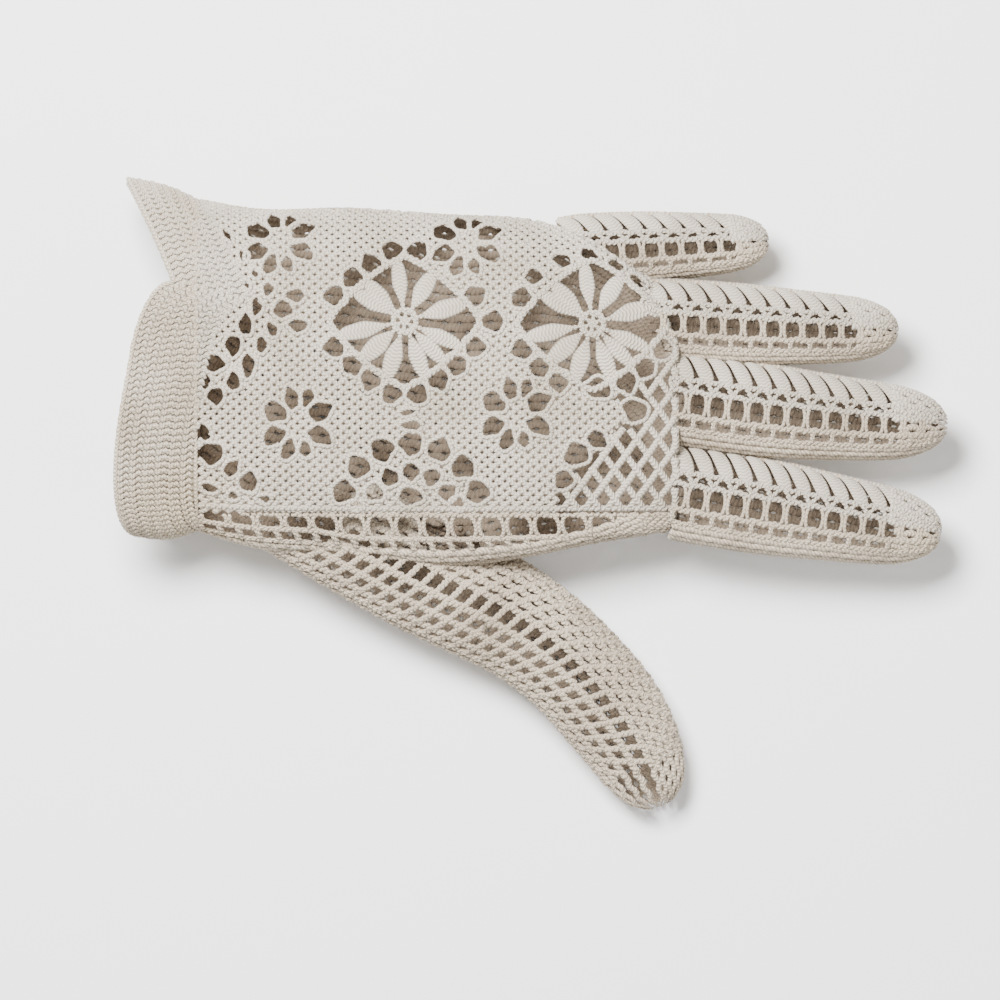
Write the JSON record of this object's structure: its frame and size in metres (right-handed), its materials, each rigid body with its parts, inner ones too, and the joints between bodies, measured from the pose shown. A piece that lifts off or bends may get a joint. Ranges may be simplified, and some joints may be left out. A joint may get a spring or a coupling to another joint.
{
  "type": "crochet lace dress glove",
  "caption": "Left-hand cream cotton dress glove in crochet and lace, shown worn, with a scalloped wrist cuff, flower lace on the back and open mesh on the palm, thumb and fingers.",
  "frame": {"origin": "middle of the wrist, in the plane where the cuff meets the hand", "axes": "+X from the wrist to the fingertips, +Y towards the little finger, +Z out of the back of the hand"},
  "size_m": [0.217, 0.1644, 0.0485],
  "materials": {
    "cotton_cuff": "close-worked cream crochet cotton in ridges, matt, a little yellowed at the wrist",
    "cotton_lace": "fine pale cream mercerised cotton lace with a soft sheen, woven leaves and cloth stitch",
    "cotton_mesh": "warm cream crochet cotton mesh of small loops and slots, matt"
  },
  "bodies": {
    "root": {"cuff_band": "cotton_cuff", "back_lace_panel": "cotton_lace", "palm_mesh": "cotton_mesh", "thumb_mesh": "cotton_mesh", "index_lace_strip": "cotton_lace", "index_mesh": "cotton_mesh", "middle_lace_strip": "cotton_lace", "middle_mesh": "cotton_mesh", "ring_lace_strip": "cotton_lace", "ring_mesh": "cotton_mesh", "little_lace_strip": "cotton_lace", "little_mesh": "cotton_mesh"}
  },
  "joints": []
}
